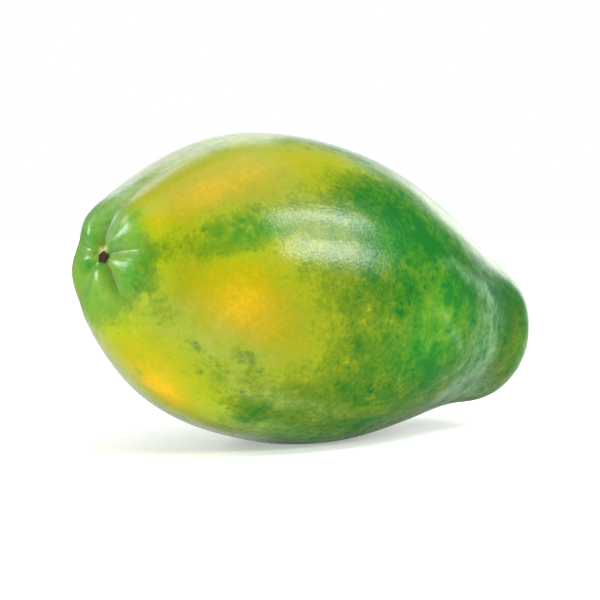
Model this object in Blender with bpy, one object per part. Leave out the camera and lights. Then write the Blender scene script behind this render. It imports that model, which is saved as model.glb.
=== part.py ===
"""A whole papaya lying on its belly, as picked: one solid fruit.

The blossom end points to -X and the neck, with the cut stalk, to +X. The fruit is an
ellipsoid whose girth changes along its length. Five furrows run out from the dried
flower scar at the blossom end and fade into soft valleys along the body. The fruit is
tipped neck down, as it balances, and its belly is pressed flat where it rests.
"""

from math import pi, radians

import bmesh
import bpy
import numpy as np
from mathutils import Matrix, Vector

MM = 0.001

# Driving dimensions, in metres and radians.
LENGTH = 180 * MM  # blossom pole to stalk pole, along the axis
STATIONS = (0.0, 0.08, 0.18, 0.30, 0.42, 0.54, 0.66, 0.76, 0.86, 0.94, 1.0)
FULLNESS_MM = (130, 78, 58, 58, 55.6, 52, 45.2, 43.5, 55.5, 66, 64)
ARCH = 3.8 * MM  # how far the middle of the axis bows upwards
NECK_LIFT = 3.1 * MM  # how far the neck rises off the straight axis
NECK_SWAY = 5.2 * MM  # and how far it swings to the front, -Y
NECK_FROM = 0.45  # share of the length where the neck leaves the straight axis
NECK_TO = 0.90
NOSE_LIFT = 1.2 * MM  # how far the blossom end turns up round the scar
NOSE_REACH = 16 * MM
NOSE_DOWN = radians(13)  # how far the neck dips when the fruit lies at rest
BELLY_SINK = 1.2 * MM  # depth of the belly that the flat resting spot takes off
REST_FROM_BLOSSOM = 84 * MM  # where along the fruit the resting spot's centre lies

# Furrows round the blossom end. Each leaves the scar at its first angle, from the back (+Y)
# over the top, and swings to its second angle along the body. Then its depth and reach.
FURROWS = (
    (radians(30), radians(16), 2.6 * MM, 12 * MM),
    (radians(45), radians(93), 3.0 * MM, 26 * MM),
    (radians(148), radians(166), 2.3 * MM, 19 * MM),
    (radians(230), radians(222), 3.0 * MM, 24 * MM),
    (radians(335), radians(318), 1.6 * MM, 17 * MM),
)
CREASE = (radians(85), radians(128), 0.8 * MM, 15 * MM)  # a small one within a lobe
FURROW_SWING = 9 * MM  # how far from the scar most of the swing is over
FURROW_START = 6 * MM  # distance from the scar at which a furrow is fully deep
FURROW_WIDTH = 1.1 * MM
FURROW_SPREAD = 0.10  # how much wider a furrow gets for each metre away from the scar
VALLEY_DEPTH = 1.0 * MM  # the soft valley that carries each furrow on along the body
VALLEY_REACH = 75 * MM
VALLEY_ANGLE = radians(20)

# The lobes between the furrows swell unevenly: angle and swelling.
LOBES = (
    (radians(44), 3.0 * MM),
    (radians(134), 0.2 * MM),
    (radians(200), 0.4 * MM),
    (radians(271), 0.6 * MM),
    (radians(347), 1.2 * MM),
)
LOBE_ANGLE = radians(32)
LOBE_START = 10 * MM
LOBE_REACH = 28 * MM

# Ribs of the neck, one between each pair of furrows.
NECK_RIB = 0.9 * MM
NECK_RIB_FROM = 0.58
NECK_RIB_PEAK = 0.86

# The dried flower scar in its pit.
PIT_DEPTH = 2.6 * MM
PIT_RADIUS = 2.9 * MM
KNOB_HEIGHT = 1.1 * MM
KNOB_RADIUS = 1.3 * MM

# The cut stalk in its shallow cavity.
CAVITY_DEPTH = 2.8 * MM
CAVITY_RADIUS = 11 * MM
STALK_RADIUS = 5.6 * MM
STALK_HEIGHT = 4.6 * MM
STALK_EDGE = 0.7 * MM
STALK_CORNERS = 5
STALK_CORNER_SIZE = 0.05
PITH_DEPTH = 0.7 * MM
PITH_RADIUS = 2.2 * MM

SIDES = 80
BODY_RINGS = 50
RIND_COLOUR = (0.42, 0.50, 0.04, 1.0)


def smooth_curve(stations, values, at):
    """A natural cubic spline through the values at the stations, read at other places."""
    stations = np.asarray(stations, float)
    values = np.asarray(values, float)
    gap = np.diff(stations)
    slope = np.diff(values) / gap
    count = len(stations)
    system = np.eye(count)
    wanted = np.zeros(count)
    for i in range(1, count - 1):
        system[i, i - 1 : i + 2] = gap[i - 1], 2 * (gap[i - 1] + gap[i]), gap[i]
        wanted[i] = 6 * (slope[i] - slope[i - 1])
    bend = np.linalg.solve(system, wanted)
    i = np.clip(np.searchsorted(stations, at, side="right") - 1, 0, count - 2)
    before = at - stations[i]
    after = stations[i + 1] - at
    width = gap[i]
    curved = (bend[i] * after**3 + bend[i + 1] * before**3) / (6 * width)
    left = (values[i] / width - bend[i] * width / 6) * after
    right = (values[i + 1] / width - bend[i + 1] * width / 6) * before
    return curved + left + right


def ease(share):
    """0 below 0, 1 above 1, and a smooth rise between them."""
    share = np.clip(share, 0, 1)
    return share * share * (3 - 2 * share)


def hump(distance, reach):
    """1 at no distance, fading smoothly to nothing past the reach."""
    return np.exp(-((distance / reach) ** 2))


def turned(angle, about):
    """The angle measured from another, between -pi and pi."""
    return (angle - about + pi) % (2 * pi) - pi


def ring_places():
    """Where the rings of points lie from the blossom pole, 0, to the stalk pole, 1."""
    pit = np.linspace(0.0, 2.2 * PIT_RADIUS, 8)
    stalk_top = np.linspace(0.0, STALK_RADIUS - STALK_EDGE, 5)
    stalk_side = np.linspace(STALK_RADIUS, STALK_RADIUS + STALK_EDGE, 3)
    end_fullness = np.array([FULLNESS_MM[0], FULLNESS_MM[-1]]) * MM
    blossom = pit / (pi * end_fullness[0])
    stalk = 1 - np.concatenate([stalk_top, stalk_side]) / (pi * end_fullness[1])
    body = np.linspace(blossom[-1], stalk[-1], BODY_RINGS)
    return np.concatenate([blossom[:-1], body[:-1], stalk[::-1]])


def outline(place):
    """Distance along the axis and radius of the plain turned fruit at each place."""
    fullness = smooth_curve(STATIONS, np.array(FULLNESS_MM) * MM, place)
    return LENGTH * (1 - np.cos(pi * place)) / 2, fullness * np.sin(pi * place)


def furrows(angle, radius, reached):
    """How far the furrows and valleys sink the surface. reached is the way from the scar."""
    sunk = np.zeros_like(angle)
    width = FURROW_WIDTH + FURROW_SPREAD * reached
    started = ease(reached / FURROW_START)
    for first_angle, last_angle, depth, reach in (*FURROWS, CREASE):
        swung = last_angle + (first_angle - last_angle) * np.exp(-reached / FURROW_SWING)
        aside = turned(angle, swung)
        across = np.sqrt((aside * radius / width) ** 2 + 0.15) - np.sqrt(0.15)
        sunk += depth * started * hump(reached, reach) * np.exp(-across)
    valley = VALLEY_DEPTH * ease(reached / (2 * FURROW_START)) * hump(reached, VALLEY_REACH)
    for furrow in FURROWS:
        sunk += valley * hump(turned(angle, furrow[1]), VALLEY_ANGLE)
    return sunk


def lobes(angle, reached):
    """How far each lobe of the blossom end swells."""
    swelling = sum(swell * hump(turned(angle, about), LOBE_ANGLE) for about, swell in LOBES)
    return swelling * ease(reached / LOBE_START) * hump(reached, LOBE_REACH)


def neck_ribs(angle, along):
    """Soft ribs that rise between the furrows' lines as the body narrows to the neck."""
    groove = sum(hump(turned(angle, furrow[1]), VALLEY_ANGLE) for furrow in FURROWS)
    rise = ease((along / LENGTH - NECK_RIB_FROM) / (NECK_RIB_PEAK - NECK_RIB_FROM))
    fade = 1 - ease((along / LENGTH - NECK_RIB_PEAK) / (1 - NECK_RIB_PEAK))
    return -NECK_RIB * groove * rise * fade


def blossom_scar(reached):
    """The pit at the blossom pole, with the dried knob of the flower in it."""
    return KNOB_HEIGHT * hump(reached, KNOB_RADIUS) - PIT_DEPTH * hump(reached, PIT_RADIUS)


def cut_stalk(left):
    """The cavity and the cut stalk round the other pole. left is the way to that pole."""
    stalk = STALK_HEIGHT * ease((STALK_RADIUS - left) / STALK_EDGE + 1)
    pith = PITH_DEPTH * hump(left, PITH_RADIUS)
    return stalk - pith - CAVITY_DEPTH * hump(left, CAVITY_RADIUS)


def fruit_points():
    """Rings of points of the fruit, its straight axis along +X from the blossom pole."""
    place = ring_places()
    along, radius = outline(place)
    steps = np.hypot(np.diff(along), np.diff(radius))
    reached = np.concatenate([[0.0], np.cumsum(steps)])[:, None]
    left = reached[-1] - reached
    slope = np.gradient(along, place), np.gradient(radius, place)
    steepness = np.hypot(*slope)
    outwards = -slope[1] / steepness, slope[0] / steepness

    angle = np.linspace(0, 2 * pi, SIDES, endpoint=False)[None, :] + 0 * reached
    radius_grid = radius[:, None] + 0 * angle
    along_grid = along[:, None] + 0 * angle
    raised = blossom_scar(reached) + cut_stalk(left)
    raised = raised + neck_ribs(angle, along_grid)
    raised -= furrows(angle, radius_grid, reached)
    raised += lobes(angle, reached)

    x = along_grid + outwards[0][:, None] * raised
    corners = STALK_CORNER_SIZE * np.cos(STALK_CORNERS * angle)
    r = radius_grid * (1 + corners * hump(left, CAVITY_RADIUS))
    r = r + outwards[1][:, None] * raised
    share = along_grid / LENGTH
    bent = ease((share - NECK_FROM) / (NECK_TO - NECK_FROM))
    y = r * np.cos(angle) - NECK_SWAY * bent
    z = r * np.sin(angle) + NECK_LIFT * bent + 4 * ARCH * share * (1 - share)
    z = z + NOSE_LIFT * hump(reached, NOSE_REACH)
    return np.stack([x, y, z], axis=2)


def fruit_mesh(points):
    """Joins the rings of points into a closed mesh with one vertex at each pole."""
    mesh = bmesh.new()
    blossom_pole = mesh.verts.new(points[0].mean(axis=0))
    stalk_pole = mesh.verts.new(points[-1].mean(axis=0))
    rings = [[mesh.verts.new(point) for point in ring] for ring in points[1:-1]]
    for i in range(SIDES):
        j = (i + 1) % SIDES
        mesh.faces.new((blossom_pole, rings[0][j], rings[0][i]))
        mesh.faces.new((stalk_pole, rings[-1][i], rings[-1][j]))
        for near, far in zip(rings, rings[1:]):
            mesh.faces.new((near[i], near[j], far[j], far[i]))
    bmesh.ops.recalc_face_normals(mesh, faces=mesh.faces)
    return mesh


def lay_down(mesh):
    """Tips the fruit neck down, sets it on the floor and presses its belly flat."""
    start = Vector((REST_FROM_BLOSSOM, 0, 0))
    tip = Matrix.Rotation(NOSE_DOWN, 4, "Y") @ Matrix.Translation(-start)
    bmesh.ops.transform(mesh, matrix=tip, verts=mesh.verts)
    lowest = min(vertex.co.z for vertex in mesh.verts)
    for vertex in mesh.verts:
        vertex.co.z = max(vertex.co.z - lowest - BELLY_SINK, 0.0)
    pressed = [vertex.co.copy() for vertex in mesh.verts if vertex.co.z == 0.0]
    centre = sum(pressed, Vector()) / len(pressed)
    bmesh.ops.translate(mesh, vec=-centre, verts=mesh.verts)


def rind_material():
    """Waxy rind between green and gold."""
    material = bpy.data.materials.new("rind")
    material.use_nodes = True
    surface = material.node_tree.nodes["Principled BSDF"]
    surface.inputs["Base Color"].default_value = RIND_COLOUR
    surface.inputs["Roughness"].default_value = 0.35
    surface.inputs["Metallic"].default_value = 0.0
    return material


def build():
    """Clears the scene and adds the papaya."""
    for thing in list(bpy.data.objects):
        bpy.data.objects.remove(thing)
    mesh = fruit_mesh(fruit_points())
    lay_down(mesh)
    data = bpy.data.meshes.new("papaya")
    mesh.to_mesh(data)
    mesh.free()
    data.shade_smooth()
    data.materials.append(rind_material())
    papaya = bpy.data.objects.new("papaya", data)
    bpy.context.scene.collection.objects.link(papaya)


build()
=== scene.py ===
"""The looks of a whole papaya lying on its belly, between green and ripe.

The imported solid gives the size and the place. The rind is turned from the same rule as the
solid, with finer relief and its markings, and stands for it. The dried flower scar sits in
the pit at the blossom end (-X), and the cut face of the stalk at the neck (+X).
"""

import logging
from collections.abc import Callable
from dataclasses import dataclass, fields
from enum import Enum
from math import cos, pi, radians, sin, tau
from types import SimpleNamespace
from typing import Union

import bpy
import numpy as np
from bpy.types import ColorRamp, Material, Mesh, Node, NodeSocket, NodeTree, Object
from mathutils import Matrix, Quaternion, Vector


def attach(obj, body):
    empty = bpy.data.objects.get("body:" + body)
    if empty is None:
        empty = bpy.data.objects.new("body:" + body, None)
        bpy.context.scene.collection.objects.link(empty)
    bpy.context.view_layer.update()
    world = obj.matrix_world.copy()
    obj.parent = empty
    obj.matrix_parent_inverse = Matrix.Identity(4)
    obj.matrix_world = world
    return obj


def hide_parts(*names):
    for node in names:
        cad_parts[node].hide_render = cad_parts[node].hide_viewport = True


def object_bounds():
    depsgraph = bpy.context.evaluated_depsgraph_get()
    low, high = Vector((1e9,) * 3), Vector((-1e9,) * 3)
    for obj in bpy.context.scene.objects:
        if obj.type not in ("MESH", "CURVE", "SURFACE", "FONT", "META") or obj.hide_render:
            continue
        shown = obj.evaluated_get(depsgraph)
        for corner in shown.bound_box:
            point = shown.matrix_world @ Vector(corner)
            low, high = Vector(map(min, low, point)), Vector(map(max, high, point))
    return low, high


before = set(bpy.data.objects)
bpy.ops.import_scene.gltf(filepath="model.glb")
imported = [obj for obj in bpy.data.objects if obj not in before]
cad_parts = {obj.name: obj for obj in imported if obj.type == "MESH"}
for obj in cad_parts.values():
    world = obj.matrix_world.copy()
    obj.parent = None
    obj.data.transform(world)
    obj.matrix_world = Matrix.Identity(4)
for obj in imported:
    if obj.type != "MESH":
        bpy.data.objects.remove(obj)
CAD_LOW, CAD_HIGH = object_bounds()

MODELLED_EXTENT = 181.8  # the solid's extent along X, in its own millimetres
MM = (CAD_HIGH.x - CAD_LOW.x) / MODELLED_EXTENT
BODY = "root"
NODE = "papaya"

log = logging.getLogger("papaya")

Number = Union[float, "Formula"]
Colour = tuple[float, float, float, float]
Span = tuple[float, float]
Stops = list[tuple[float, Colour]]
Blend = tuple[float, float, float, float]
WHITE: Colour = (1.0, 1.0, 1.0, 1.0)


def paint(red: int, green: int, blue: int) -> Colour:
    """Turns a display colour into the linear one that materials take.

    Args:
        red: red part, 0 to 255.
        green: green part, 0 to 255.
        blue: blue part, 0 to 255.

    Returns:
        The linear colour, opaque.
    """
    parts = [part / 255 for part in (red, green, blue)]
    linear = [p / 12.92 if p <= 0.04045 else ((p + 0.055) / 1.055) ** 2.4 for p in parts]
    return (*linear, 1.0)


@dataclass(frozen=True)
class Noise:
    """A noise: the width of its coarsest lumps, its finer octaves, and which one it is."""

    width: float
    octaves: int
    seed: int


def operator(operation: str, swapped: bool = False) -> Callable[["Formula", Number], "Formula"]:
    """Makes an operator of Formula from a Math node.

    Args:
        operation: the Math node's operation.
        swapped: whether the formula is the second of the two numbers.

    Returns:
        The method.
    """

    def operate(self: "Formula", other: Number) -> "Formula":
        """Adds the Math node for the two numbers."""
        numbers = (other, self) if swapped else (self, other)
        return self.graph.math(operation, *numbers)

    return operate


class Formula:
    """A number that nodes work out. Python's operators add the Math nodes."""

    def __init__(self, graph: "Graph", socket: NodeSocket) -> None:
        """Wraps the socket that gives the number."""
        self.graph = graph
        self.socket = socket

    __add__ = __radd__ = operator("ADD")
    __sub__ = operator("SUBTRACT")
    __rsub__ = operator("SUBTRACT", swapped=True)
    __mul__ = __rmul__ = operator("MULTIPLY")
    __truediv__ = operator("DIVIDE")
    __rtruediv__ = operator("DIVIDE", swapped=True)
    __pow__ = operator("POWER")

    def __neg__(self) -> "Formula":
        """The number with its sign turned."""
        return self * -1.0

    def sin(self) -> "Formula":
        """The sine."""
        return self.graph.math("SINE", self)

    def cos(self) -> "Formula":
        """The cosine."""
        return self.graph.math("COSINE", self)

    def exp(self) -> "Formula":
        """e to this power."""
        return self.graph.math("EXPONENT", self)

    def clipped(self) -> "Formula":
        """Held between 0 and 1."""
        return self.graph.math("MINIMUM", self.graph.math("MAXIMUM", self, 0.0), 1.0)

    def turned(self, about: Number) -> "Formula":
        """This angle measured from another, between -pi and pi."""
        return self.graph.math("WRAP", self - about, pi, -pi)

    def hump(self, reach: Number) -> "Formula":
        """1 where this distance is nothing, fading smoothly past the reach."""
        share = self / reach
        return (-(share * share)).exp()

    def rise(self, low: Number, high: Number) -> "Formula":
        """0 below low, 1 above high, and a smooth rise between.

        Args:
            low: where the rise starts.
            high: where it ends.

        Returns:
            The share of the rise.
        """
        settings = {"interpolation_type": "SMOOTHSTEP"}
        node = self.graph.node(
            "ShaderNodeMapRange", settings, {"Value": self, "From Min": low, "From Max": high}
        )
        return Formula(self.graph, node.outputs[0])


class Graph:
    """A node tree that nodes are added to, for a material or for geometry."""

    def __init__(self, tree: NodeTree) -> None:
        """Takes the tree to add to."""
        self.tree = tree

    def node(self, kind: str, settings: dict | None = None, inputs: dict | None = None) -> Node:
        """Adds a node, with its settings first and then its sockets.

        Args:
            kind: the node's type.
            settings: its own settings; "stops" are a colour ramp's (place, colour) pairs.
            inputs: values, formulas or sockets, by the socket's name or number.

        Returns:
            The new node.
        """
        node = self.tree.nodes.new(kind)
        for name, value in (settings or {}).items():
            if name == "stops":
                self._set_stops(node.color_ramp, value)
            else:
                setattr(node, name, value)
        for key, value in (inputs or {}).items():
            if isinstance(key, str):
                socket = next(s for s in node.inputs if s.enabled and s.name == key)
            else:
                socket = node.inputs[key]
            self.feed(socket, value)
        return node

    def feed(self, socket: NodeSocket, value: object) -> None:
        """Links a formula or socket to an input, or sets the input's own value.

        Args:
            socket: the input.
            value: what it gets.
        """
        if isinstance(value, Formula):
            value = value.socket
        if isinstance(value, NodeSocket):
            self.tree.links.new(value, socket)
        else:
            socket.default_value = value

    @staticmethod
    def _set_stops(ramp: ColorRamp, stops: Stops) -> None:
        """Gives a colour ramp its stops.

        Args:
            ramp: the ramp.
            stops: each stop's place, from 0 to 1, and its colour.
        """
        while len(ramp.elements) < len(stops):
            ramp.elements.new(1.0)
        for element, (place, colour) in zip(ramp.elements, stops):
            element.position = place
            element.color = colour

    def math(self, operation: str, *values: Number) -> Formula:
        """Adds a Math node for an operation on the values."""
        settings = {"operation": operation}
        node = self.node("ShaderNodeMath", settings, dict(enumerate(values)))
        return Formula(self, node.outputs[0])

    def vector(self, x: Number, y: Number, z: Number) -> NodeSocket:
        """Three numbers as one vector."""
        return self.node("ShaderNodeCombineXYZ", None, {"X": x, "Y": y, "Z": z}).outputs[0]

    def parts(self, vector: NodeSocket) -> list[Formula]:
        """A vector's three numbers."""
        node = self.node("ShaderNodeSeparateXYZ", None, {0: vector})
        return [Formula(self, socket) for socket in node.outputs]

    def noise(self, place: NodeSocket, kind: Noise) -> Formula:
        """Smooth noise about zero, to about 0.5 each way. Its width is in the place's units."""
        inputs = {"Vector": place, "W": kind.seed, "Scale": 1 / kind.width, "Detail": kind.octaves}
        node = self.node("ShaderNodeTexNoise", {"noise_dimensions": "4D"}, inputs)
        return Formula(self, node.outputs[0]) - 0.5


class GroupGraph(Graph):
    """A geometry node group with named sizes as its inputs."""

    def __init__(self, name: str) -> None:
        """Starts an empty group of that name."""
        super().__init__(bpy.data.node_groups.new(name, "GeometryNodeTree"))
        self.values: dict[str, float] = {}
        self.entry = self.node("NodeGroupInput")
        self.exit = self.node("NodeGroupOutput")

    def socket(self, name: str, way: str, kind: str) -> bpy.types.NodeTreeInterfaceSocket:
        """Adds an input or output of the group."""
        return self.tree.interface.new_socket(name, in_out=way, socket_type="NodeSocket" + kind)

    def size(self, name: str, value: float = 0.0) -> Formula:
        """Adds a named size to the group's inputs and returns it.

        Args:
            name: its name.
            value: what it is set to.

        Returns:
            The size, to build with.
        """
        item = self.socket(name, "INPUT", "Float")
        self.values[item.identifier] = value
        socket = next(s for s in self.entry.outputs if s.identifier == item.identifier)
        return Formula(self, socket)


class MarkingGraph(GroupGraph):
    """The group that shades one marking: an oval patch with a soft edge."""

    edge = 1.3  # 1 is a plain bell, and more is a flatter top with a steeper edge

    def __init__(self) -> None:
        """Builds the group."""
        super().__init__("marking")
        names = ("Reached", "Angle", "Radius", "Along", "About", "Lean", "Length", "Width")
        reached, angle, radius, along, about, lean, length, width = map(self.size, names)
        strength = self.size("Strength")
        ahead = reached - along
        aside = angle.turned(ahead * lean + about) * radius
        share = (ahead / length) ** 2 + (aside / width) ** 2
        self.socket("Shade", "OUTPUT", "Float")
        self.feed(self.exit.inputs[0], (-(share**self.edge)).exp() * strength)


class ShapeGraph(GroupGraph):
    """A Geometry Nodes tree that makes a piece."""

    def __init__(self, name: str) -> None:
        """Starts an empty tree of that name."""
        super().__init__(name)
        self.socket("Base", "INPUT", "Geometry")
        self.socket("Shape", "OUTPUT", "Geometry")

    def sizes(self, owner: object) -> SimpleNamespace:
        """Adds every number among a dataclass's fields as a named size.

        Args:
            owner: the dataclass.

        Returns:
            The sizes, by the names of the fields.
        """
        named = {
            f.name: self.size(f.name.replace("_", " ").capitalize(), getattr(owner, f.name))
            for f in fields(owner)
            if f.type is float
        }
        return SimpleNamespace(**named)

    def random(self, low: Number, high: Number, seed: int) -> Formula:
        """A number for each point, even between low and high."""
        inputs = {"Min": low, "Max": high, "Seed": seed}
        node = self.node("FunctionNodeRandomValue", {"data_type": "FLOAT"}, inputs)
        return Formula(self, node.outputs[1])

    def random_scale(self, spans: tuple[Span, Span, Span], seed: int) -> NodeSocket:
        """A scale for each point, each of its numbers in its span, with seeds that count up."""
        return self.vector(*(self.random(*span, seed + i) for i, span in enumerate(spans)))

    def store(self, geometry: NodeSocket, name: str, value: Formula) -> NodeSocket:
        """Keeps a number on every point under a name that materials can read."""
        inputs = {"Geometry": geometry, "Name": name, "Value": value}
        return self.node("GeometryNodeStoreNamedAttribute", None, inputs).outputs[0]

    def scatter(
        self, points: NodeSocket, piece: NodeSocket, turn: NodeSocket, scale: NodeSocket
    ) -> NodeSocket:
        """Puts a copy of a piece on every point, with that turn and scale."""
        inputs = {"Points": points, "Instance": piece, "Rotation": turn, "Scale": scale}
        return self.node("GeometryNodeInstanceOnPoints", None, inputs).outputs[0]

    def lump(self, radius: Number) -> NodeSocket:
        """A small ball of 80 faces."""
        inputs = {"Radius": radius, "Subdivisions": 2}
        return self.node("GeometryNodeMeshIcoSphere", None, inputs).outputs[0]

    def make(
        self, name: str, shape: NodeSocket, material: Material, base: Mesh | None = None
    ) -> Object:
        """Ends the tree, runs it once and keeps the result as a plain mesh.

        Args:
            name: the piece's name.
            shape: the finished geometry.
            material: its finish.
            base: the mesh that the tree starts from, if it reads one.

        Returns:
            The piece, linked to the scene, with its place in its mesh.
        """
        whole = self.node("GeometryNodeRealizeInstances", None, {"Geometry": shape}).outputs[0]
        smooth = self.node("GeometryNodeSetShadeSmooth", None, {"Geometry": whole}).outputs[0]
        inputs = {"Geometry": smooth, "Material": material}
        dressed = self.node("GeometryNodeSetMaterial", None, inputs).outputs[0]
        self.feed(self.exit.inputs[0], dressed)

        source = bpy.data.objects.new(name + "_base", base or bpy.data.meshes.new(name))
        bpy.context.scene.collection.objects.link(source)
        modifier = source.modifiers.new("shape", "NODES")
        modifier.node_group = self.tree
        for identifier, value in self.values.items():
            modifier[identifier] = value
        evaluated = source.evaluated_get(bpy.context.evaluated_depsgraph_get())
        mesh = bpy.data.meshes.new_from_object(evaluated)
        source.modifiers.remove(modifier)
        bpy.data.objects.remove(source)
        mesh.name = name
        piece = bpy.data.objects.new(name, mesh)
        bpy.context.scene.collection.objects.link(piece)
        return piece


class FinishGraph(Graph):
    """The node tree of one material."""

    def __init__(self, name: str) -> None:
        """Starts a material of that name with its surface shader."""
        self.material = bpy.data.materials.new(name)
        self.material.use_nodes = True
        super().__init__(self.material.node_tree)
        self.surface = self.tree.nodes["Principled BSDF"]
        self.place = self.node("ShaderNodeTexCoord").outputs["Object"]

    def attribute(self, name: str) -> Formula:
        """A number kept on the piece's own points."""
        node = self.node("ShaderNodeAttribute", {"attribute_name": name})
        return Formula(self, node.outputs["Fac"])

    def ramp(self, value: Formula, stops: Stops) -> NodeSocket:
        """The colour that a ramp gives a number."""
        return self.node("ShaderNodeValToRGB", {"stops": stops}, {"Fac": value}).outputs[0]

    def mix(self, share: Number, first: object, second: object) -> NodeSocket:
        """Mixes two colours."""
        settings = {"data_type": "RGBA", "clamp_factor": True}
        inputs = {"Factor": share, "A": first, "B": second}
        return self.node("ShaderNodeMix", settings, inputs).outputs[2]

    def brighten(self, colour: NodeSocket, value: Formula) -> NodeSocket:
        """Makes a colour brighter or darker by a factor."""
        inputs = {"Value": value, "Color": colour}
        return self.node("ShaderNodeHueSaturation", None, inputs).outputs[0]

    def bump(
        self, height: Formula, strength: float, distance: float, under: NodeSocket | None = None
    ) -> NodeSocket:
        """A normal that follows a height too fine for the mesh, over another bump.

        Args:
            height: the height.
            strength: how much of it shows.
            distance: how high 1 is, in metres.
            under: the normal that it lies on, if any.

        Returns:
            The normal.
        """
        inputs = {"Strength": strength, "Distance": distance, "Height": height}
        if under is not None:
            inputs["Normal"] = under
        return self.node("ShaderNodeBump", None, inputs).outputs[0]

    def set(self, **values: object) -> Material:
        """Sets sockets of the surface shader.

        Args:
            values: values, formulas or sockets, by the shader's names with underscores.

        Returns:
            The material.
        """
        for name, value in values.items():
            wanted = name.replace("_", " ").lower()
            socket = next(s for s in self.surface.inputs if s.name.lower() == wanted)
            self.feed(socket, value)
        return self.material


class Tone(Enum):
    """Colours of the rind, from unripe to ripe, with the ripeness that shows each."""

    DEEP_GREEN = (0.00, paint(6, 100, 22))
    DARK_GREEN = (0.22, paint(44, 114, 16))
    FRESH_GREEN = (0.42, paint(76, 122, 18))
    LIME = (0.56, paint(106, 136, 12))
    YELLOW_GREEN = (0.68, paint(146, 161, 8))
    OLIVE_GOLD = (0.81, paint(166, 158, 0))
    GOLD = (0.91, paint(184, 161, 0))
    BRIGHT_GOLD = (1.00, paint(205, 167, 0))


class End(Enum):
    """The two ends of the fruit."""

    BLOSSOM = "from_scar"
    STALK = "from_stalk"


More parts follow.
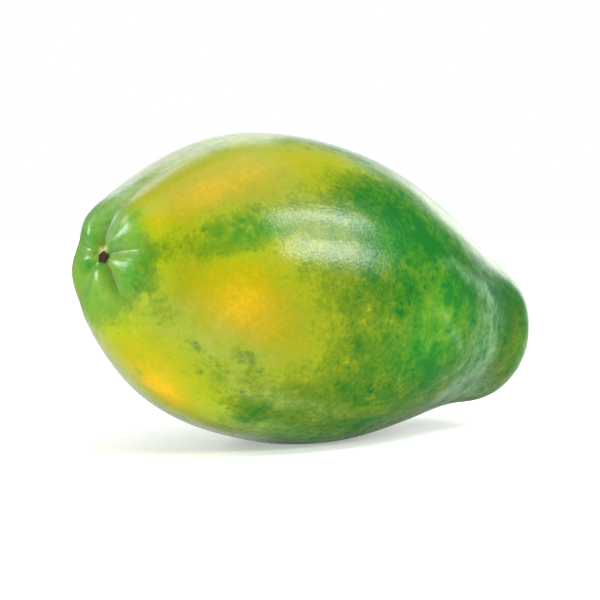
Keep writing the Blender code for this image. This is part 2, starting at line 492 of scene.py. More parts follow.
@dataclass(frozen=True)
class RindFinish:
    """Waxy rind, mottled between green and gold."""

    cloud: Noise = Noise(6 * MM, 3, 1)
    mottle: Noise = Noise(2.0 * MM, 2, 2)
    grain: Noise = Noise(0.8 * MM, 1, 3)
    specks: Noise = Noise(2.6 * MM, 0, 4)
    skin: Noise = Noise(1.0 * MM, 2, 5)
    waves: Noise = Noise(5 * MM, 1, 6)
    # each blend is a base, and what cloud, mottle and grain add to it
    tone_blend: Blend = (0.0, 0.62, 0.44, 0.20)
    shade_blend: Blend = (1.0, 0.06, 0.12, 0.30)
    fresh_blend: Blend = (0.9, 1.5, 0.0, 0.0)
    tan_blend: Blend = (0.6, 0.0, 2.0, 0.0)
    bloom_blend: Blend = (0.75, 2.4, 1.4, 0.0)
    skin_height: float = 0.27 * MM
    wave_height: float = 0.25 * MM
    bump_strength: float = 0.5
    speck_edge: Span = (0.18, 0.28)
    speck_depth: float = 0.2
    mottled_until: float = 1.05  # the ripeness past which the mottling is least
    mottling_rise: float = 2.6  # how fast it grows below that
    mottling: Span = (0.22, 1.52)  # how strong it is on ripe and on green rind
    fresh_edge: Span = (14 * MM, 27 * MM)  # where the fresh green round the scar ends
    fresh_stray: float = 14 * MM
    fresh_share: float = 0.85
    fresh_green: Colour = paint(54, 156, 40)
    fresh_yellow: Colour = paint(158, 190, 52)
    # Olive laid in the furrows by their depth: partly the furrows' own colour, partly painted
    # shade in them.
    groove_share: float = 0.6
    groove_colour: Colour = paint(112, 122, 22)
    tan_colour: Colour = paint(104, 92, 36)
    # the pale of the waxy bloom and of the painted sheen
    bloom_colour: Colour = paint(140, 180, 140)
    # the pale lip by the scar: partly a callus ring, partly a painted highlight
    callus_colour: Colour = paint(226, 220, 140)
    cork_edge: Span = (5.6 * MM, 6.6 * MM)
    dark_cork: Colour = paint(112, 90, 48)
    pale_cork: Colour = paint(168, 146, 94)
    roughness: float = 0.22
    cork_roughness: float = 0.35  # what cork adds
    end_roughness: float = 0.14  # what the blossom end adds
    end_edge: Span = (14 * MM, 30 * MM)
    wax: float = 0.50
    neck_edge: Span = (172 * MM, 188 * MM)
    ripe_edge: Span = (0.55, 1.0)
    ripe_wax_loss: float = 0.6
    neck_wax_loss: float = 0.45

    def material(self) -> Material:
        """Builds the material.

        Returns:
            The material, which reads the numbers kept on the rind.
        """
        graph = FinishGraph("rind_finish")
        cork = 1 - graph.attribute(End.STALK.value).rise(*self.cork_edge)
        from_scar = graph.attribute(End.BLOSSOM.value)
        plain = graph.attribute("ripeness")
        neck = from_scar.rise(*self.neck_edge)
        lost = plain.rise(*self.ripe_edge) * self.ripe_wax_loss + neck * self.neck_wax_loss
        wax = 1 - lost - cork
        end = 1 - from_scar.rise(*self.end_edge)
        skin, waves = (graph.noise(graph.place, kind) for kind in (self.skin, self.waves))
        fine = graph.bump(skin, self.bump_strength, self.skin_height)
        return graph.set(
            base_color=self._colour(graph, plain, from_scar, cork),
            roughness=self.roughness + cork * self.cork_roughness + end * self.end_roughness,
            normal=graph.bump(waves, self.bump_strength, self.wave_height, fine),
            specular_ior_level=0.31,
            coat_weight=(wax * self.wax).clipped(),
            coat_roughness=0.25,
            sheen_weight=0.25,
            sheen_roughness=0.35,
            coat_ior=1.45,
        )

    def _colour(
        self, graph: FinishGraph, plain: Formula, from_scar: Formula, cork: Formula
    ) -> NodeSocket:
        """The rind's colour, from its tone up to the markings that lie over it.

        Args:
            graph: the material.
            plain: the ripeness without mottling.
            from_scar: the way from the scar along the rind.
            cork: 1 on the cut face of the stalk.

        Returns:
            The colour.
        """
        noises = [graph.noise(graph.place, kind) for kind in (self.cloud, self.mottle, self.grain)]
        cloud, mottle, _ = noises

        def blended(blend: Blend) -> Formula:
            """The base of a blend with what the noises add to it."""
            base, *shares = blend
            return sum((noise * share for noise, share in zip(noises, shares)), base)

        specks = graph.noise(graph.place, self.specks).rise(*self.speck_edge) * self.speck_depth
        ripe, green = self.mottling
        unripe = ((self.mottled_until - plain) ** 3 * self.mottling_rise).clipped()
        ripeness = plain + (blended(self.tone_blend) - specks) * (unripe * (green - ripe) + ripe)
        colour = graph.ramp(ripeness, [tone.value for tone in Tone])
        # The noises give the rind's own uneven tone; the 'shade' attribute adds painted light and
        # shade: lighter and darker places that stand in for how the lamps fall.
        colour = graph.brighten(colour, blended(self.shade_blend) + graph.attribute("shade"))

        fresh = 1 - (from_scar + cloud * self.fresh_stray).rise(*self.fresh_edge)
        fresh = fresh * self.fresh_share + graph.attribute("fresh") * blended(self.fresh_blend)
        groove = graph.attribute("groove")
        layers = (
            (fresh, graph.mix(ripeness.clipped(), self.fresh_green, self.fresh_yellow)),
            # darker olive in the furrows: partly their own colour, partly painted shade
            (groove * groove * self.groove_share, self.groove_colour),
            (graph.attribute("tan") * blended(self.tan_blend), self.tan_colour),
            # pale marks: partly waxy bloom, partly painted sheen that stands in for reflections
            (graph.attribute("bloom") * blended(self.bloom_blend), self.bloom_colour),
            # the pale lip by the scar: partly a callus ring, partly a painted highlight
            (graph.attribute("callus"), self.callus_colour),
            (cork, graph.mix(mottle + 0.5, self.dark_cork, self.pale_cork)),
        )
        for share, over in layers:
            colour = graph.mix(share.clipped(), colour, over)
        return colour


@dataclass(frozen=True)
class DryFinish:
    """Dry plant matter between two browns, such as strands or crumbs."""

    name: str
    dark: Colour
    pale: Colour
    grain: Noise
    contrast: float
    middle: float
    roughness: float
    bump_strength: float
    relief: float = 0.1 * MM

    def material(self) -> Material:
        """Builds the material.

        Returns:
            The material.
        """
        graph = FinishGraph(self.name)
        grain = graph.noise(graph.place, self.grain)
        share = (grain * self.contrast + self.middle).clipped()
        return graph.set(
            base_color=graph.mix(share, self.dark, self.pale),
            roughness=self.roughness,
            normal=graph.bump(grain, self.bump_strength, self.relief),
        )


DRIED_FLOWER = DryFinish(
    name="dried_flower_finish",
    dark=paint(66, 34, 18),
    pale=paint(142, 76, 38),
    grain=Noise(0.7 * MM, 3, 5),
    contrast=2.0,
    middle=0.0,
    roughness=0.8,
    bump_strength=0.8,
)
DRY_STRANDS = DryFinish(
    name="strand_finish",
    dark=paint(84, 58, 30),
    pale=paint(176, 150, 98),
    grain=Noise(0.5 * MM, 3, 6),
    contrast=1.0,
    middle=0.5,
    roughness=0.85,
    bump_strength=0.6,
)


@dataclass(frozen=True)
class FloorFinish:
    """A plain white table."""

    colour: Colour = (0.85, 0.85, 0.85, 1.0)
    roughness: float = 0.8
    glow: float = 0.36

    def material(self) -> Material:
        """Builds the material."""
        return FinishGraph("floor_finish").set(
            base_color=self.colour,
            roughness=self.roughness,
            emission_color=WHITE,
            emission_strength=self.glow,
        )


@dataclass(frozen=True)
class Furrow:
    """A groove that runs out from the flower scar: two angles, its depth and its reach."""

    first_angle: float
    last_angle: float
    depth: float
    reach: float


@dataclass(frozen=True)
class Marking:
    """A soft-edged oval on the rind.

    It lies some millimetres from the scar along the rind, at an angle in degrees round the
    fruit. It has half a length and half a width in millimetres, and a strength, and it leans
    by some degrees for each millimetre along.
    """

    name: str
    along: float
    about: float
    length: float
    width: float
    strength: float
    lean: float = 0.0

    def sizes(self) -> dict[str, float]:
        """The values for the sockets of the marking group, in metres and radians."""
        return {
            "Along": self.along * MM,
            "About": radians(self.about),
            "Lean": radians(self.lean) / MM,
            "Length": self.length * MM,
            "Width": self.width * MM,
            "Strength": self.strength,
        }


RIPENESS = (
    Marking("belly gold", 57, 193, 13, 10, 0.18),
    Marking("belly glow", 57, 191, 23, 22, 0.20),
    Marking("low gold", 53, 257, 10, 6, 0.18),
    Marking("low glow", 47, 254, 28, 16, 0.23),
    Marking("upper gold", 49, 132, 17, 7, 0.12, -0.08),
    Marking("upper glow", 52, 128, 43, 19, 0.21, 0.09),
    Marking("yellow by the scar", 32, 188, 10, 6, 0.09),
    Marking("middle yellow", 83, 205, 15, 12, 0.08),
    Marking("top yellow", 97, 118, 15, 9, 0.14),
    Marking("middle green", 108, 193, 17, 18, 0.07),
    Marking("green band", 54, 158, 16, 8, -0.28, -0.17),
    Marking("green beside the scar", 20, 181, 8, 10, -0.28),
    Marking("crease", 17, 125, 6, 2.5, -0.14),
    Marking("dark shoulder", 112, 150, 27, 10, -0.28, -0.07),
    Marking("dark streak", 123, 150, 14, 2.4, -0.34, 0.36),
    Marking("start of the dark shoulder", 100, 144, 6, 4, -0.20),
    Marking("upper dark shoulder", 110, 136, 11, 5, -0.20),
    Marking("band to the neck", 168, 153, 26, 7, -0.34),
    Marking("waist spot", 145, 169, 13, 6, -0.34, -0.08),
    Marking("tail of the waist spot", 157, 177, 5, 7, -0.26),
    Marking("round spot", 130, 195, 5, 3.4, -0.36),
    Marking("low waist spot", 140, 202, 13, 10, -0.30, 0.30),
    Marking("low middle spot", 113, 216, 9, 5, -0.19, 0.08),
    Marking("bottom blotch", 83, 238, 7, 6, -0.28),
    Marking("small spot", 66, 214, 4, 3, -0.13),
    Marking("middle spot", 100, 168, 5, 7, -0.22),
    Marking("wide middle spot", 117, 175, 9, 6, -0.17, 0.09),
    Marking("small middle spot", 114, 183, 3, 2, -0.20),
    Marking("faint middle spot", 102, 197, 5, 4, -0.13),
    Marking("top of the neck", 190, 163, 12, 14, -0.24),
    Marking("green neck", 180, 190, 14, 26, -0.10),
    Marking("green end", 10, 45, 12, 14, -0.25),
    Marking("green under the scar", 17, 240, 12, 14, -0.07),
    Marking("olive above the middle", 82, 141, 24, 8, -0.07),
    Marking("under the dark shoulder", 132, 153, 10, 5, -0.10),
    Marking("low right yellow", 122, 229, 22, 9, 0.14),
    Marking("green over the middle", 104, 160, 9, 6, -0.16),
    Marking("green under the dark shoulder", 86, 165, 4, 5, -0.12),
    Marking("low middle yellow", 114, 217, 12, 8, 0.12),
    Marking("behind the dark shoulder", 120, 125, 9, 7, 0.10),
    Marking("yellow over the shoulder", 104, 124, 12, 7, 0.12),
    Marking("low spot", 126, 235, 7, 5, -0.22),
    Marking("neck spot", 184, 170, 4, 5, -0.20),
    Marking("green over the neck", 191, 150, 7, 6, -0.20),
    Marking("speck", 44, 261, 1.6, 1.4, -0.24),
    Marking("speck", 39, 250, 1.6, 1.4, -0.18),
    Marking("speck", 48, 220, 2.4, 2.2, -0.12),
    Marking("speck", 81, 184, 2.0, 1.6, -0.14),
    Marking("speck", 73, 187, 1.5, 1.4, -0.12),
    Marking("far gold", 56, 12, 13, 9, 0.18),
    Marking("far glow", 60, 18, 30, 18, 0.22),
    Marking("far low gold", 46, 316, 12, 8, 0.20),
    Marking("far low glow", 54, 320, 26, 13, 0.16),
    Marking("far green band", 44, 345, 15, 7, -0.24, 0.15),
    Marking("far dark shoulder", 112, 30, 28, 9, -0.30, -0.10),
    Marking("far blotch", 88, 338, 9, 6, -0.26),
    Marking("far round spot", 128, 350, 8, 6, -0.24),
    Marking("far waist spot", 150, 15, 12, 6, -0.28),
    Marking("far neck spot", 186, 40, 10, 9, -0.20),
    Marking("far low spot", 140, 310, 10, 7, -0.20),
)
TAN = (
    Marking("neck tan", 194, 168, 7, 8, 0.40),
    Marking("low neck tan", 190, 206, 11, 13, 0.32),
    Marking("waist scratch", 177, 214, 3, 1.6, 0.90),
    Marking("far neck tan", 192, 350, 9, 9, 0.40),
)
FRESH = (
    Marking("bright green side", 137, 188, 18, 17, 0.40),
    Marking("pale green band", 55, 158, 14, 7, 0.35, -0.17),
    Marking("far green side", 134, 350, 18, 18, 0.40),
)
# Painted light and shade: each oval makes the rind lighter or darker where the lamps light it too
# little or too much, such as a lighter underside and low side and a darker top and neck.
PAINTED_LIGHT_AND_SHADE = (
    Marking("bright low side", 40, 247, 32, 26, 0.24),
    Marking("bright by the scar", 26, 195, 6, 40, 0.18),
    Marking("bright beside the dark shoulder", 111, 157, 11, 8, 0.16),
    Marking("bright over the top", 96, 116, 22, 10, 0.10),
    Marking("bright underside", 100, 248, 46, 8, 0.32),
    Marking("dull by the blossom end", 34, 180, 9, 16, -0.12),
    Marking("dull end", 12, 40, 12, 16, -0.16),
    Marking("dull top", 76, 143, 30, 12, -0.20),
    Marking("dull middle", 82, 184, 22, 22, -0.19),
    Marking("dull side", 112, 172, 20, 14, -0.12),
    Marking("dull waist", 156, 156, 14, 8, -0.22),
    Marking("dull neck", 182, 160, 18, 18, -0.22),
    Marking("dull under the neck", 186, 219, 12, 10, -0.25),
)
# Pale marks, partly the rind's own waxy bloom, on the waist and round the stalk, and partly
# painted sheen: pale reflections painted along the top and the shoulder, on the underside, on
# furrow edges, on rib lines and on a lobe by the scar.
BLOOM_AND_PAINTED_SHEEN = (
    Marking("waist bloom", 172, 186, 11, 22, 0.34),
    Marking("waist edge", 178, 192, 6, 12, 0.16, 1.2),
    Marking("rib line", 152, 160, 14, 2.6, 0.34, 0.15),
    Marking("rib line over the waist", 169, 163, 10, 3.2, 0.26, 0.25),
    Marking("low waist bloom", 170, 218, 12, 6, 0.62, -0.9),
    Marking("under the neck", 184, 230, 14, 8, 0.40),
    Marking("pale round the stalk", 206, 180, 4.5, 60, 0.55),
    Marking("first wisp", 150, 190, 9, 2.4, 0.30, 0.8),
    Marking("second wisp", 158, 205, 9, 1.8, 0.35, -1.0),
    Marking("haze on the belly", 50, 214, 26, 9, 0.14),
    Marking("low haze", 86, 228, 24, 5, 0.15),
    Marking("pale over the shoulder", 112, 121, 14, 6, 0.35, 0.2),
    Marking("pale over the top", 94, 111, 24, 7, 0.26),
    Marking("pale along the shoulder", 142, 131, 20, 3.6, 0.26, 1.0),
    Marking("pale underside", 106, 248, 38, 7, 0.24),
    Marking("pale edge of the second furrow", 14, 88, 7, 2.2, 0.35, 1.0),
    Marking("pale line along the top", 46, 93, 32, 2.2, 0.40, 0.16),
    Marking("cream patch behind the top", 31, 68, 14, 8, 0.90),
    Marking("lobe by the scar", 9, 135, 5, 5, 0.30),
    Marking("far waist bloom", 170, 350, 10, 22, 0.40),
)
MARKINGS = {"ripeness": RIPENESS, "tan": TAN, "fresh": FRESH, "shade": PAINTED_LIGHT_AND_SHADE, "bloom": BLOOM_AND_PAINTED_SHEEN}


@dataclass
class Rind:
    """The whole skin, from the pit of the flower scar to the cut face of the stalk."""

    length: float = 180 * MM
    arch: float = 3.8 * MM
    neck_lift: float = 3.1 * MM
    neck_sway: float = 5.2 * MM
    neck_from: float = 0.45
    neck_to: float = 0.90
    nose_lift: float = 1.2 * MM
    nose_reach: float = 16 * MM
    nose_down: float = radians(13)
    belly_sink: float = 1.2 * MM
    furrow_swing: float = 9 * MM
    furrow_start: float = 6 * MM
    furrow_width: float = 1.1 * MM
    furrow_spread: float = 0.10
    furrow_roundness: float = 0.15
    deep_furrow: float = 3 * MM
    valley_depth: float = 1.0 * MM
    valley_reach: float = 75 * MM
    valley_angle: float = radians(20)
    lobe_angle: float = radians(32)
    lobe_start: float = 10 * MM
    lobe_reach: float = 28 * MM
    neck_rib: float = 0.9 * MM
    neck_rib_from: float = 0.58
    neck_rib_peak: float = 0.86
    pit_depth: float = 2.6 * MM
    pit_radius: float = 2.9 * MM
    pit_zone: float = 6.38 * MM  # how far the pit's own rings reach
    knob_height: float = 1.1 * MM
    knob_radius: float = 1.3 * MM
    cavity_depth: float = 2.8 * MM
    cavity_radius: float = 11 * MM
    stalk_radius: float = 5.6 * MM
    stalk_height: float = 4.6 * MM
    stalk_edge: float = 0.7 * MM
    stalk_corner_size: float = 0.05
    pith_depth: float = 0.7 * MM
    pith_radius: float = 2.2 * MM
    ridge_length: float = 250 * MM
    ridge_depth: float = 0.35 * MM
    dimple_depth: float = 0.15 * MM
    streak_depth: float = 0.14 * MM
    wander_by: float = 9 * MM
    stray_by: float = radians(12)
    # A pale lip round the pit, on its upper side only: partly a callus ring and partly a painted
    # highlight where the pit's wall faces the lamps.
    callus_at: float = 3.1 * MM
    callus_width: float = 1.1 * MM
    callus_angle: float = radians(58)
    callus_spread: float = radians(48)
    near_change: float = 0.05  # of the ripeness by a broad noise, on the near side
    far_change: float = 0.4  # and how much more on the far side
    end_ripeness: float = 0.45
    weld: float = 1e-6
    stations: tuple = (0.0, 0.08, 0.18, 0.30, 0.42, 0.54, 0.66, 0.76, 0.86, 0.94, 1.0)
    fullness: tuple = (130, 78, 58, 58, 55.6, 52, 45.2, 43.5, 55.5, 66, 64)
    furrows: tuple = (
        Furrow(radians(30), radians(16), 2.6 * MM, 12 * MM),
        Furrow(radians(45), radians(93), 3.0 * MM, 26 * MM),
        Furrow(radians(148), radians(166), 2.3 * MM, 19 * MM),
        Furrow(radians(230), radians(222), 3.0 * MM, 24 * MM),
        Furrow(radians(335), radians(318), 1.6 * MM, 17 * MM),
    )
    crease: Furrow = Furrow(radians(85), radians(128), 0.8 * MM, 15 * MM)
    lobes: tuple = ((44, 3.0), (134, 0.2), (200, 0.4), (271, 0.6), (347, 1.2))
    ridges: Noise = Noise(0.26, 1, 11)
    dimples: Noise = Noise(9 * MM, 1, 12)
    wander: Noise = Noise(9 * MM, 3, 13)
    stray: Noise = Noise(9 * MM, 3, 14)
    far_tone: Noise = Noise(30 * MM, 2, 15)
    streaks: Noise = Noise(0.09, 1, 16)
    far_edge: Span = (0.4, 0.9)  # of the cosine of the angle, where the far side starts
    relief_from_scar: Span = (4 * MM, 14 * MM)
    relief_from_stalk: Span = (7 * MM, 16 * MM)
    ripening: tuple = ((8, 26, 0.14), (78, 122, -0.26), (122, 200, 0.06))  # from, to, change
    stalk_corners: int = 5
    sides: int = 360
    rings: tuple = (28, 196, 38)  # in the pit, along the body, and round the stalk

    def places(self) -> np.ndarray:
        """Where the rings lie from the blossom pole, 0, to the stalk pole, 1.

        Returns:
            The places, in order.
        """
        pit_rings, body_rings, stalk_rings = self.rings
        first, last = (pi * self.fullness[end] * MM for end in (0, -1))
        pit = np.linspace(0.0, self.pit_zone, pit_rings) / first
        flat = self.stalk_radius - self.stalk_edge
        side = self.stalk_radius + self.stalk_edge
        top = np.linspace(0.0, flat, stalk_rings // 2, endpoint=False)
        edge = np.linspace(flat, side, stalk_rings - stalk_rings // 2)
        stalk = 1 - np.concatenate([top, edge]) / last
        body = np.linspace(pit[-1], stalk[-1], body_rings)
        return np.concatenate([pit[:-1], body[:-1], stalk[::-1]])

    def _fullness_at(self, places: np.ndarray) -> np.ndarray:
        """A natural cubic spline through the fullness at the stations.

        Args:
            places: where it is wanted, from 0 to 1.

        Returns:
            The fullness there, in metres.
        """
        stations = np.array(self.stations)
        values = np.array(self.fullness) * MM
        gap = np.diff(stations)
        slope = np.diff(values) / gap
        count = len(stations)
        system = np.eye(count)
        wanted = np.zeros(count)
        for i in range(1, count - 1):
            system[i, i - 1 : i + 2] = gap[i - 1], 2 * (gap[i - 1] + gap[i]), gap[i]
            wanted[i] = 6 * (slope[i] - slope[i - 1])
        bend = np.linalg.solve(system, wanted)
        i = np.clip(np.searchsorted(stations, places, side="right") - 1, 0, count - 2)
        before, after, width = places - stations[i], stations[i + 1] - places, gap[i]
        curved = (bend[i] * after**3 + bend[i + 1] * before**3) / (6 * width)
        left = (values[i] / width - bend[i] * width / 6) * after
        right = (values[i + 1] / width - bend[i + 1] * width / 6) * before
        return curved + left + right

    def profile(self) -> tuple[Mesh, float]:
        """The plain outline that is turned: a line of points with their way from the scar.

        Returns:
            A mesh of loose points, (along, radius, 0), with "reached" and "outwards", and the
            whole way from the scar to the stalk.
        """
        places = self.places()
        along = self.length * (1 - np.cos(pi * places)) / 2
        radius = self._fullness_at(places) * np.sin(pi * places)
        steps = np.hypot(np.diff(along), np.diff(radius))
        reached = np.concatenate([[0.0], np.cumsum(steps)])
        slope = np.gradient(along, places), np.gradient(radius, places)
        outwards = np.stack([-slope[1], slope[0], 0 * along], 1) / np.hypot(*slope)[:, None]
        mesh = bpy.data.meshes.new("rind_profile")
        mesh.vertices.add(len(places))
        points = np.stack([along, radius, 0 * along], 1)
        mesh.vertices.foreach_set("co", points.ravel())
        mesh.attributes.new("reached", "FLOAT", "POINT").data.foreach_set("value", reached)
        vectors = mesh.attributes.new("outwards", "FLOAT_VECTOR", "POINT").data
        vectors.foreach_set("vector", outwards.ravel())
        return mesh, float(reached[-1])

    def _furrows(
        self, s: SimpleNamespace, angle: Formula, radius: Formula, reached: Formula
    ) -> tuple[Formula, Formula]:
        """How far furrows and valleys sink the rind, and how deep in a furrow a place is.

        Args:
            s: the rind's sizes.
            angle: the angle round the fruit.
            radius: the distance from the axis.
            reached: the way from the scar along the rind.

        Returns:
            The depth that they sink, and the depth in a furrow, where 1 is a deep one.
        """
        width = s.furrow_width + s.furrow_spread * reached
        started = reached.rise(0.0, s.furrow_start)
        sunk = 0.0
        groove = 0.0
        for furrow in (*self.furrows, self.crease):
            swing = (-(reached / s.furrow_swing)).exp()
            middle = swing * (furrow.first_angle - furrow.last_angle) + furrow.last_angle
            aside = angle.turned(middle) * radius / width
            across = (aside * aside + s.furrow_roundness) ** 0.5 - s.furrow_roundness**0.5
            strength = started * reached.hump(furrow.reach) * (-across).exp()
            sunk = strength * furrow.depth + sunk
            groove = strength * furrow.depth / s.deep_furrow + groove
        valley = s.valley_depth * reached.rise(0.0, s.furrow_start * 2)
        valley = valley * reached.hump(s.valley_reach)
        for furrow in self.furrows:
            sunk = sunk + valley * angle.turned(furrow.last_angle).hump(s.valley_angle)
        return sunk, groove

    def _lobes(self, s: SimpleNamespace, angle: Formula, reached: Formula) -> Formula:
        """How far the lobes of the blossom end swell.

        Args:
            s: the rind's sizes.
            angle: the angle round the fruit.
            reached: the way from the scar along the rind.

        Returns:
            The height of the swelling.
        """
        swelling = 0.0
        for about, swell in self.lobes:
            swelling = angle.turned(radians(about)).hump(s.lobe_angle) * (swell * MM) + swelling
        return swelling * reached.rise(0.0, s.lobe_start) * reached.hump(s.lobe_reach)

    def _neck_ribs(self, s: SimpleNamespace, angle: Formula, share: Formula) -> Formula:
        """How far the grooves between the ribs of the neck sink.

        Args:
            s: the rind's sizes.
            angle: the angle round the fruit.
            share: the place along the fruit, from 0 to 1.

        Returns:
            The depth of the grooves.
        """
        groove = 0.0
        for furrow in self.furrows:
            groove = angle.turned(furrow.last_angle).hump(s.valley_angle) + groove
        rise = share.rise(s.neck_rib_from, s.neck_rib_peak)
        return s.neck_rib * groove * rise * (1 - share.rise(s.neck_rib_peak, 1.0))

    def _ends(self, s: SimpleNamespace, reached: Formula, left: Formula) -> Formula:
        """The pit of the flower scar, and the stalk in its cavity.

        Args:
            s: the rind's sizes.
            reached: the way from the scar along the rind.
            left: the way to the stalk along the rind.

        Returns:
            How far they rise, or sink where less than nothing.
        """
        knob = s.knob_height * reached.hump(s.knob_radius)
        pit = s.pit_depth * reached.hump(s.pit_radius)
        stalk = s.stalk_height * ((s.stalk_radius - left) / s.stalk_edge + 1).rise(0.0, 1.0)
        pith = s.pith_depth * left.hump(s.pith_radius)
        return knob - pit + stalk - pith - s.cavity_depth * left.hump(s.cavity_radius)

    def build(self) -> Object:
        """Turns the profile, presses the relief in it and lays the fruit down.

        Returns:
            The finished piece, where the solid is.
        """
        base, reach = self.profile()
        rings = len(base.vertices)
        graph = ShapeGraph("rind_shape")
        s = graph.sizes(self)
        counts = {"Size X": 1.0, "Size Y": 1.0, "Vertices X": rings, "Vertices Y": self.sides + 1}
        grid = graph.node("GeometryNodeMeshGrid", None, counts).outputs[0]
        spot = graph.node("GeometryNodeInputPosition").outputs[0]
        ring_share, side_share, _ = graph.parts(spot)
        ring = graph.math("ROUND", (ring_share + 0.5) * (rings - 1))
        angle = (side_share + 0.5) * tau

        def sample(value: NodeSocket, kind: str) -> NodeSocket:
            """Reads a value of the profile at this ring."""
            inputs = {"Geometry": graph.entry.outputs["Base"], "Value": value, "Index": ring}
            return graph.node("GeometryNodeSampleIndex", {"data_type": kind}, inputs).outputs[0]

        def named(name: str, kind: str) -> NodeSocket:
            """Reads a named attribute of the profile at this ring."""
            settings = {"data_type": kind}
            node = graph.node("GeometryNodeInputNamedAttribute", settings, {"Name": name})
            return sample(node.outputs[0], kind)

        along, radius, _ = graph.parts(sample(spot, "FLOAT_VECTOR"))
        out_along, out_radius, _ = graph.parts(named("outwards", "FLOAT_VECTOR"))
        reached = Formula(graph, named("reached", "FLOAT"))
        left = reach - reached
        share = along / s.length

        sunk, groove = self._furrows(s, angle, radius, reached)
        raised = self._ends(s, reached, left) + self._lobes(s, angle, reached) - sunk
        raised = raised - self._neck_ribs(s, angle, share)

        round_place = graph.vector(angle.cos(), angle.sin(), reached / s.ridge_length)
        plain = graph.vector(along, radius * angle.cos(), radius * angle.sin())
        ridges = graph.noise(round_place, self.ridges) + 0.5
        dimples = graph.noise(plain, self.dimples) + 0.5
        streaks = graph.noise(round_place, self.streaks) + 0.5
        relief = s.ridge_depth * ridges + s.dimple_depth * dimples + s.streak_depth * streaks
        relief = relief * reached.rise(*self.relief_from_scar)
        raised = raised - relief * left.rise(*self.relief_from_stalk)

        corners = s.stalk_corner_size * (angle * self.stalk_corners).cos()
        x = along + out_along * raised
        r = radius * (1 + corners * left.hump(s.cavity_radius)) + out_radius * raised
        bent = share.rise(s.neck_from, s.neck_to)
        y = r * angle.cos() - s.neck_sway * bent
        z = r * angle.sin() + s.neck_lift * bent + 4 * s.arch * share * (1 - share)
        z = z + s.nose_lift * reached.hump(s.nose_reach)
        tip_x = x * s.nose_down.cos() + z * s.nose_down.sin()
        tip_z = z * s.nose_down.cos() - x * s.nose_down.sin()

        wander = graph.noise(plain, self.wander) * s.wander_by
        stray = graph.noise(plain, self.stray) * s.stray_by
        spot = {"Reached": reached + wander, "Angle": angle + stray, "Radius": radius}
        group = MarkingGraph()
        kept = {name: self._mark(graph, group, spot, these) for name, these in MARKINGS.items()}
        change = angle.cos().rise(*self.far_edge) * s.far_change + s.near_change
        tone = self._plain_ripeness(s, reached) + graph.noise(plain, self.far_tone) * change
        kept["ripeness"] = (kept["ripeness"] + tone).clipped()
        kept["groove"] = groove
        # the pale lip on the upper side of the pit: partly callus, partly painted highlight
        callus = (reached - s.callus_at).hump(s.callus_width)
        kept["callus"] = callus * angle.turned(s.callus_angle).hump(s.callus_spread)
        kept[End.BLOSSOM.value] = reached
        kept[End.STALK.value] = left
        shape = grid
        for name, value in kept.items():
            shape = graph.store(shape, name, value)
        place = graph.vector(tip_x, y, tip_z)
        shape = graph.node("GeometryNodeSetPosition", None, {"Geometry": shape, "Position": place})
        shape = self._lay(graph, s, shape.outputs[0])
        inputs = {"Geometry": shape, "Distance": s.weld}
        shape = graph.node("GeometryNodeMergeByDistance", None, inputs).outputs[0]
        piece = graph.make("rind", shape, RindFinish().material(), base)
        self._fit(piece.data)
        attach(piece, BODY)
        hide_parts(NODE)
        return piece

    def _plain_ripeness(self, s: SimpleNamespace, reached: Formula) -> Formula:
        """Ripeness without markings: greener at the ends, ripest on the blossom half.

        Args:
            s: the rind's sizes.
            reached: the way from the scar along the rind.

        Returns:
            The ripeness, from 0 to 1.
        """
        ripe = s.end_ripeness
        for start, stop, change in self.ripening:
            ripe = ripe + reached.rise(start * MM, stop * MM) * change
        return ripe

    @staticmethod
    def _mark(
        graph: ShapeGraph, group: MarkingGraph, spot: dict, markings: tuple[Marking, ...]
    ) -> Formula:
        """Adds up the shades of some markings at a place on the rind.

        Args:
            graph: the tree to add to.
            group: the group that shades one marking.
            spot: the place, by the names of the group's inputs.
            markings: the markings.

        Returns:
            The sum.
        """
        total = 0.0
        for marking in markings:
            settings = {"node_tree": group.tree, "label": marking.name}
            node = graph.node("GeometryNodeGroup", settings, {**spot, **marking.sizes()})
            total = Formula(graph, node.outputs[0]) + total
        return total

    @staticmethod
    def _lay(graph: ShapeGraph, s: SimpleNamespace, shape: NodeSocket) -> NodeSocket:
        """Sets the fruit on the floor and presses its belly flat.

        Args:
            graph: the tree to add to.
            s: the rind's sizes.
            shape: the fruit.

        Returns:
            The fruit, laid down.
        """
        x, y, z = graph.parts(graph.node("GeometryNodeInputPosition").outputs[0])
        inputs = {"Geometry": shape, "Attribute": z}
        node = graph.node("GeometryNodeAttributeStatistic", None, inputs)
        lowest = Formula(graph, node.outputs["Min"])
        pressed = graph.math("MAXIMUM", z - lowest - s.belly_sink, 0.0)
        inputs = {"Geometry": shape, "Position": graph.vector(x, y, pressed)}
        return graph.node("GeometryNodeSetPosition", None, inputs).outputs[0]

    @staticmethod
    def _fit(mesh: Mesh) -> None:
        """Moves the rind along the floor to the solid's place.

        Args:
            mesh: the rind's mesh.
        """
        points = np.empty(len(mesh.vertices) * 3)
        mesh.vertices.foreach_get("co", points)
        points = points.reshape(-1, 3)
        middle = (CAD_LOW + CAD_HIGH) / 2 - Vector((points.min(0) + points.max(0)) / 2)
        mesh.transform(Matrix.Translation((middle.x, middle.y, 0.0)))

    def pole(self, piece: Object, end: End) -> Matrix:
        """Where an end of the fruit is, with Z pointing away from the fruit.

        Args:
            piece: the finished rind.
            end: which end.

        Returns:
            The place and turn of the pole.
        """
        mesh = piece.data
        away = np.empty(len(mesh.vertices))
        mesh.attributes[end.value].data.foreach_get("value", away)
        spot = mesh.vertices[int(away.argmin())].co
        side = -1 if end is End.BLOSSOM else 1
        out = Vector((side * cos(self.nose_down), 0, -side * sin(self.nose_down)))
        return Matrix.Translation(spot) @ out.to_track_quat("Z", "Y").to_matrix().to_4x4()


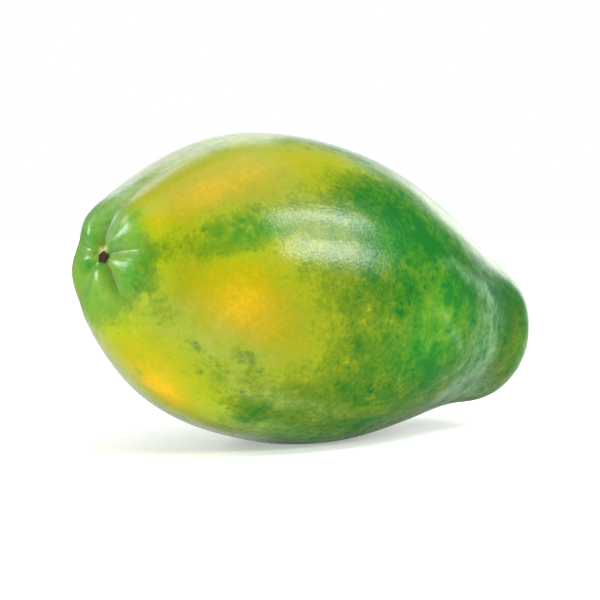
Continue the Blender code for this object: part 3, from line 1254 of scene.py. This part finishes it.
@dataclass
class FlowerScar:
    """The dried, crumbled remains of the flower in the pit of the blossom end."""

    radius: float = 1.95 * MM
    crumb: float = 0.60 * MM
    mound: float = 0.5 * MM
    tall: float = 0.78
    wide: float = 1.12
    raggedness: float = 0.14
    tilt: float = 0.7
    heights: Span = (0.3, 1.0)
    scales: tuple[Span, Span, Span] = ((0.7, 1.3), (0.4, 0.8), (0.25, 0.6))
    bays: int = 5
    crumbs: int = 90

    def build(self, pole: Matrix) -> Object:
        """Heaps crumbs at the pole.

        Args:
            pole: the place and turn of the blossom end.

        Returns:
            The finished piece.
        """
        graph = ShapeGraph("flower_scar_shape")
        s = graph.sizes(self)
        turn = graph.random(0.0, tau, 21)
        share = graph.random(0.0, 1.0, 22)
        ragged = 1 + (turn * self.bays).sin() * s.raggedness
        out = s.radius * (share**0.5) * ragged
        height = s.mound * (1 - share) * graph.random(*self.heights, 23)
        spot = graph.vector(out * turn.cos() * s.wide, out * turn.sin() * s.tall, height)
        inputs = {"Count": self.crumbs, "Position": spot}
        points = graph.node("GeometryNodePoints", None, inputs).outputs[0]
        tilts = [graph.random(-s.tilt, s.tilt, seed) for seed in (24, 25)]
        scale = graph.random_scale(self.scales, 26)
        shape = graph.scatter(points, graph.lump(s.crumb), graph.vector(*tilts, turn), scale)
        piece = graph.make("flower_scar", shape, DRIED_FLOWER.material())
        piece.data.transform(pole)
        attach(piece, BODY)
        return piece


@dataclass
class CutStalk:
    """The ring of strands in the cut face of the stalk."""

    ring_radius: float = 3.7 * MM
    strand: float = 0.34 * MM
    stray: float = 0.35 * MM
    height: float = 0.35 * MM
    scales: tuple[Span, Span, Span] = ((0.7, 1.4), (0.7, 1.4), (0.5, 1.0))
    strands: int = 34

    def build(self, pole: Matrix) -> Object:
        """Sets the ring of strands in the cut face.

        Args:
            pole: the place and turn of the stalk end.

        Returns:
            The finished piece.
        """
        graph = ShapeGraph("stalk_strands_shape")
        s = graph.sizes(self)
        inputs = {"Vertices": self.strands, "Radius": s.ring_radius}
        ring = graph.node("GeometryNodeMeshCircle", None, inputs).outputs[0]
        strays = [graph.random(-s.stray, s.stray, seed) for seed in (31, 32)]
        inputs = {"Geometry": ring, "Offset": graph.vector(*strays, s.height)}
        ring = graph.node("GeometryNodeSetPosition", None, inputs)
        scale = graph.random_scale(self.scales, 33)
        turn = graph.vector(0.0, 0.0, graph.random(0.0, tau, 36))
        shape = graph.scatter(ring.outputs[0], graph.lump(s.strand), turn, scale)
        piece = graph.make("stalk_strands", shape, DRY_STRANDS.material())
        piece.data.transform(pole)
        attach(piece, BODY)
        return piece


@dataclass(frozen=True)
class Softbox:
    """A soft lamp that looks at the fruit from a direction, in degrees, and a distance."""

    name: str
    azimuth: float
    elevation: float
    distance: float
    width: float
    height: float
    radiance: float
    roll: float = 0.0
    mirrored: bool = True

    def build(self, target: Vector) -> None:
        """Adds the lamp.

        Args:
            target: the point that it looks at.
        """
        lamp = bpy.data.lights.new(self.name, "AREA")
        lamp.shape = "RECTANGLE"
        lamp.size = self.width
        lamp.size_y = self.height
        lamp.energy = self.radiance * pi * self.width * self.height
        thing = bpy.data.objects.new(self.name, lamp)
        bpy.context.scene.collection.objects.link(thing)
        thing.visible_camera = False
        thing.visible_glossy = self.mirrored
        aim(thing, target, self.azimuth, self.elevation, self.distance, self.roll)


def aim(
    thing: Object,
    target: Vector,
    azimuth: float,
    elevation: float,
    distance: float,
    roll: float = 0.0,
) -> None:
    """Places a lamp or camera round a point and turns it to look at the point.

    Args:
        thing: what is placed.
        target: the point that it looks at.
        azimuth: degrees from the front (-Y), growing towards +X.
        elevation: degrees above the floor.
        distance: how far from the point.
        roll: degrees that it is turned about its own line of sight.
    """
    turn, lift = radians(azimuth), radians(elevation)
    back = Vector((sin(turn) * cos(lift), -cos(turn) * cos(lift), sin(lift)))
    thing.location = target + back * distance
    facing = back.to_track_quat("Z", "Y") @ Quaternion((0, 0, 1), radians(roll))
    thing.rotation_euler = facing.to_euler()


@dataclass
class Studio:
    """The floor, the light and the camera."""

    camera_azimuth: float = -38.0
    camera_elevation: float = 5.0
    camera_distance: float = 0.893
    focal_length: float = 152.0
    sensor_width: float = 36.0
    target: Vector = Vector((-0.0011, 0.0008, 0.0496))
    floor_radius: float = 1.15
    floor_sides: int = 96
    ambient: float = 0.42
    ambient_below: float = 0.6  # the share of it that comes from under the floor
    horizon: Span = (-0.35, 0.0)
    softboxes: tuple = (
        Softbox("key_upper", 28, 46, 1.0, 0.84, 0.14, 15.0, -22),
        Softbox("key_lower", 21, 27, 1.0, 0.76, 0.15, 15.0, -18),
        Softbox("left", -135, 24, 1.0, 0.28, 0.28, 15.0),
        Softbox("back", 135, 2, 1.2, 1.10, 0.80, 1.1),
        Softbox("back_low", 168, -24, 1.2, 0.90, 0.60, 0.50),
        Softbox("back_left", 155, 33, 1.2, 0.60, 0.50, 1.5),
        Softbox("back_right", 115, 13, 1.2, 0.40, 0.40, 1.3),
        Softbox("top", 0, 90, 1.4, 1.4, 1.4, 0.85),
        Softbox("fill", -75, 8, 1.0, 0.90, 0.50, 1.9, mirrored=False),
    )

    def build(self) -> None:
        """Builds the whole studio."""
        for softbox in self.softboxes:
            softbox.build(self.target)
        self._floor()
        self._world()
        self._camera()
        bpy.context.scene.view_settings.view_transform = "Standard"

    def _floor(self) -> None:
        """Adds a round white table."""
        graph = ShapeGraph("floor_shape")
        radius = graph.size("Radius", self.floor_radius)
        inputs = {"Vertices": self.floor_sides, "Radius": radius}
        disc = graph.node("GeometryNodeMeshCircle", {"fill_type": "NGON"}, inputs).outputs[0]
        floor = graph.make("floor", disc, FloorFinish().material())
        floor.visible_glossy = False

    def _world(self) -> None:
        """Lights everything softly, and shows plain white behind the table."""
        world = bpy.data.worlds.new("studio")
        world.use_nodes = True
        world.cycles_visibility.glossy = False
        bpy.context.scene.world = world
        graph = Graph(world.node_tree)
        seen = Formula(graph, graph.node("ShaderNodeLightPath").outputs["Is Camera Ray"])
        up = graph.parts(graph.node("ShaderNodeTexCoord").outputs["Generated"])[2]
        above = up.rise(*self.horizon) * (1 - self.ambient_below)
        light = self.ambient * (self.ambient_below + above)
        sky = world.node_tree.nodes["Background"]
        graph.feed(sky.inputs["Color"], WHITE)
        graph.feed(sky.inputs["Strength"], seen + (1 - seen) * light)

    def _camera(self) -> None:
        """Adds the camera and makes it the scene's."""
        lens = bpy.data.cameras.new("camera")
        lens.sensor_width = self.sensor_width
        lens.lens = self.focal_length
        camera = bpy.data.objects.new("camera", lens)
        bpy.context.scene.collection.objects.link(camera)
        place = self.camera_azimuth, self.camera_elevation, self.camera_distance
        aim(camera, self.target, *place)
        bpy.context.scene.camera = camera


def main() -> None:
    """Builds the studio and every piece, in order."""
    logging.basicConfig(level=logging.INFO, format="%(name)s: %(message)s")
    Studio().build()
    rind = Rind()
    skin = rind.build()
    scar = FlowerScar().build(rind.pole(skin, End.BLOSSOM))
    strands = CutStalk().build(rind.pole(skin, End.STALK))
    for piece in (skin, scar, strands):
        log.info("%s: %d faces", piece.name, len(piece.data.polygons))


if __name__ == "__main__":
    main()
